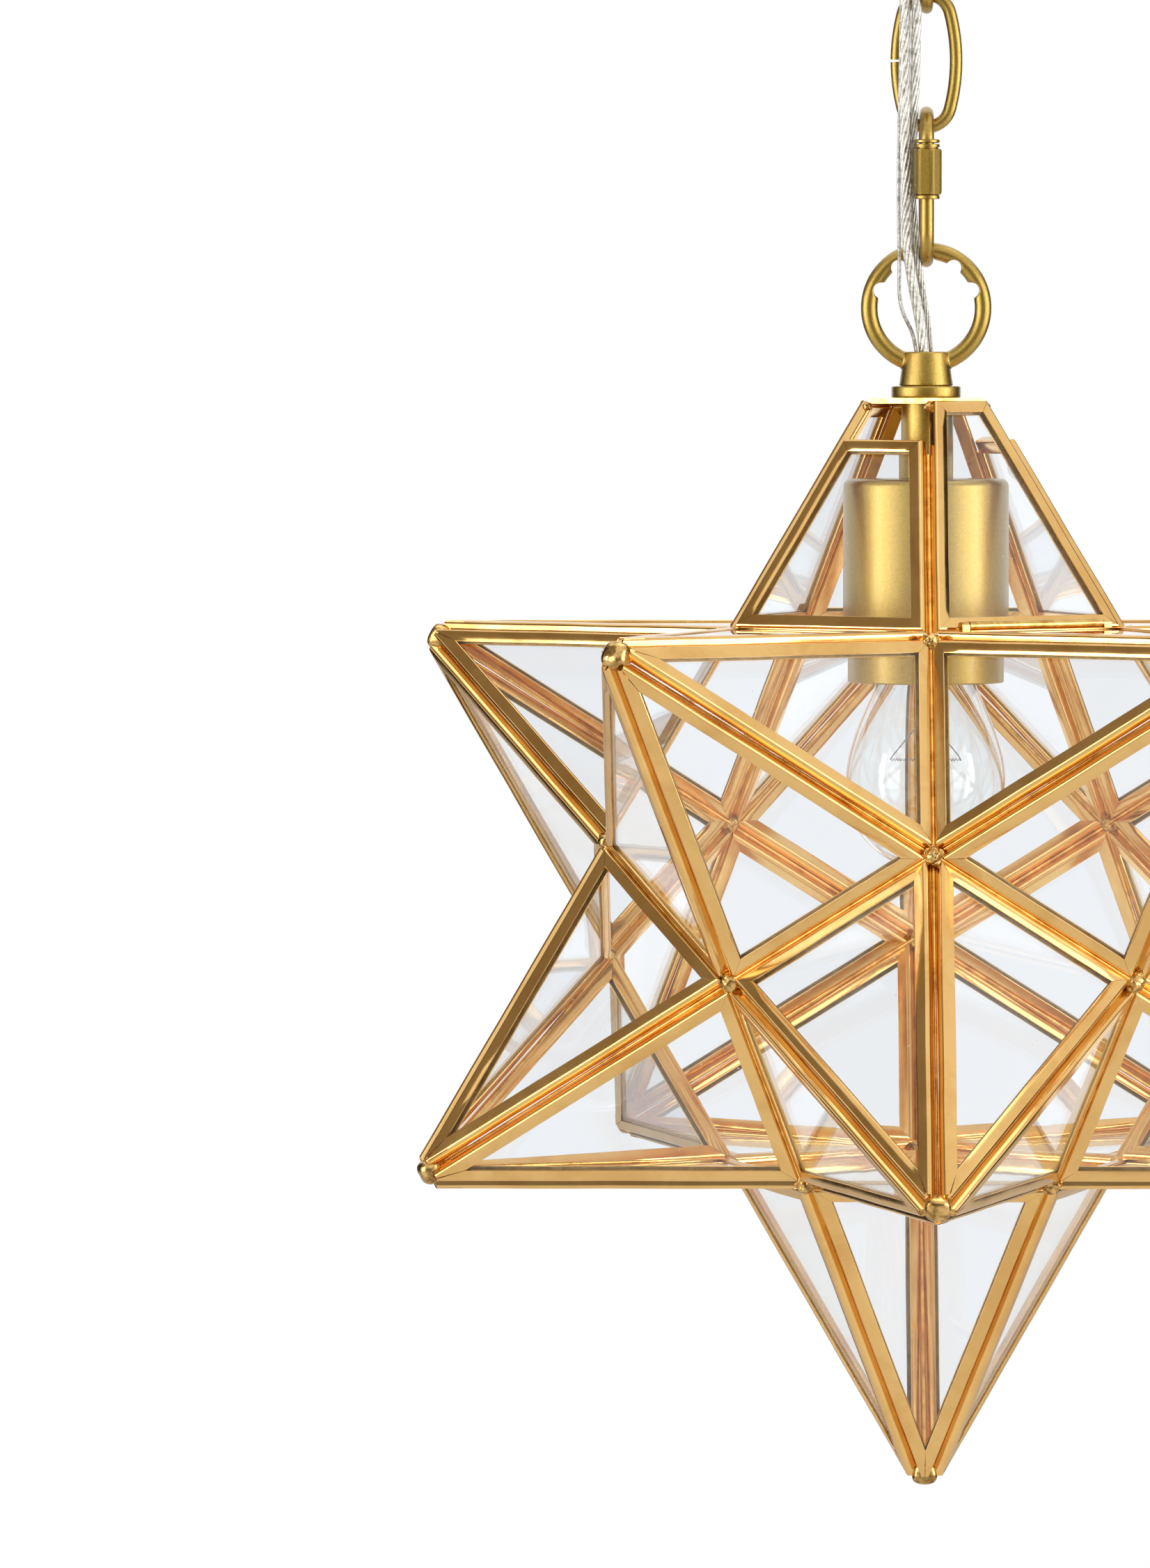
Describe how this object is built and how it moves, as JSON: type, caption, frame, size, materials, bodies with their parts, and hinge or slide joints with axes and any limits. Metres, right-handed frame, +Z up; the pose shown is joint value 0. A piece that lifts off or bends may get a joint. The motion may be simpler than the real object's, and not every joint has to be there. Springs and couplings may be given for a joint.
{
  "type": "moravian star pendant light",
  "caption": "Hanging star lamp of clear glass panes in folded brass channel, with a hinged top, a socket cup and bulb inside, a quick link, chain and ceiling canopy.",
  "frame": {"origin": "on the ceiling, midway between the crossbar's two screw slots", "axes": "+Z up along the hanging axis, +X along the crossbar, -Y towards the star's front"},
  "size_m": [0.293, 0.3078, 0.5324],
  "materials": {
    "brass_channel": "polished folded brass",
    "pane_glass": "clear, smooth",
    "solder": "pitted solder, gold plated with the channels",
    "hinge_brass": "drawn brass",
    "dark_spring": "dark spring steel",
    "aged_gold": "satin aged-gold lacquer with a fine grain",
    "zinc_steel": "zinc plated",
    "ground_green": "green enamel",
    "socket_porcelain": "glazed porcelain",
    "socket_brass": "rolled brass",
    "lead_insulation": "matt",
    "clear_cord": "clear jacket over tinned strands",
    "tinned_wire": "bare tinned copper strands, twisted",
    "bulb_cap": "rolled brass",
    "bulb_glass": "clear, smooth",
    "filament_wire": "bare wire"
  },
  "bodies": {
    "ceiling_fitting": {"crossbar": "zinc_steel", "canopy": "aged_gold", "canopy_pipe": "zinc_steel", "canopy_nuts": "zinc_steel", "canopy_loop": "aged_gold", "canopy_collar": "aged_gold", "ground_screw": "ground_green", "supply_cord": "clear_cord", "ground_wire": "tinned_wire"},
    "upper_link": {"upper_chain_link": "aged_gold"},
    "lower_link": {"lower_chain_link": "aged_gold"},
    "quick_link_hook": {"quick_link": "aged_gold"},
    "quick_link_sleeve": {"quick_link_nut": "aged_gold"},
    "lid": {"lid_loop": "aged_gold", "lid_collar": "aged_gold", "lid_plate": "brass_channel", "lid_solder": "solder", "lid_pipe": "zinc_steel", "stem_tube": "aged_gold", "socket_cup": "aged_gold", "cup_locknut": "zinc_steel", "socket_body": "socket_porcelain", "socket_shell": "socket_brass", "socket_contact": "socket_brass", "socket_leads": "lead_insulation", "lid_frames": "brass_channel", "lid_glass": "pane_glass", "hinge_tube": "hinge_brass"},
    "bulb": {"bulb_base": "bulb_cap", "bulb_envelope": "bulb_glass", "bulb_mount": "bulb_glass", "bulb_filament": "filament_wire"},
    "star_body": {"frames_upper_front_left": "brass_channel", "frames_upper_front_right": "brass_channel", "frames_upper_right": "brass_channel", "frames_upper_back": "brass_channel", "frames_upper_left": "brass_channel", "frames_lower_front": "brass_channel", "frames_lower_right": "brass_channel", "frames_lower_back_right": "brass_channel", "frames_lower_back_left": "brass_channel", "frames_lower_left": "brass_channel", "frames_bottom": "brass_channel", "glass_upper_front_left": "pane_glass", "glass_upper_front_right": "pane_glass", "glass_upper_right": "pane_glass", "glass_upper_back": "pane_glass", "glass_upper_left": "pane_glass", "glass_lower_front": "pane_glass", "glass_lower_right": "pane_glass", "glass_lower_back_right": "pane_glass", "glass_lower_back_left": "pane_glass", "glass_lower_left": "pane_glass", "glass_bottom": "pane_glass", "tip_caps": "solder", "solder_joints": "solder", "hinge_rod": "hinge_brass", "spring_catch": "dark_spring"}
  },
  "joints": [
    {"name": "upper_link_swing", "type": "hinge", "parent": "ceiling_fitting", "child": "upper_link", "pos_m": [0, 0, -0.06481], "axis": [0, 1, 0], "range_deg": [-20, 20], "deforming": ["supply_cord", "ground_wire"]},
    {"name": "lower_link_swing", "type": "hinge", "parent": "upper_link", "child": "lower_link", "pos_m": [0, 0, -0.09926], "axis": [1, 0, 0], "range_deg": [-20, 20], "deforming": ["supply_cord", "ground_wire"]},
    {"name": "quick_link_swing", "type": "hinge", "parent": "lower_link", "child": "quick_link_hook", "pos_m": [0, 0, -0.13746], "axis": [1, 0, 0], "range_deg": [-20, 20], "deforming": ["supply_cord", "ground_wire"]},
    {"name": "sleeve_travel", "type": "slide", "parent": "quick_link_hook", "child": "quick_link_sleeve", "axis": [0, 0, -1], "range_m": [0, 0.008]},
    {"name": "lid_swing", "type": "hinge", "parent": "quick_link_hook", "child": "lid", "pos_m": [0, 0, -0.17581], "axis": [0, 1, 0], "range_deg": [-25, 25], "deforming": ["supply_cord", "ground_wire"]},
    {"name": "bulb_travel", "type": "slide", "parent": "lid", "child": "bulb", "axis": [0, 0, -1], "range_m": [0, 0.028]},
    {"name": "star_hinge", "type": "hinge", "parent": "lid", "child": "star_body", "pos_m": [0.03018, -0.04154, -0.27975], "axis": [-0.809, -0.5878, 0], "range_deg": [0, 100]}
  ]
}
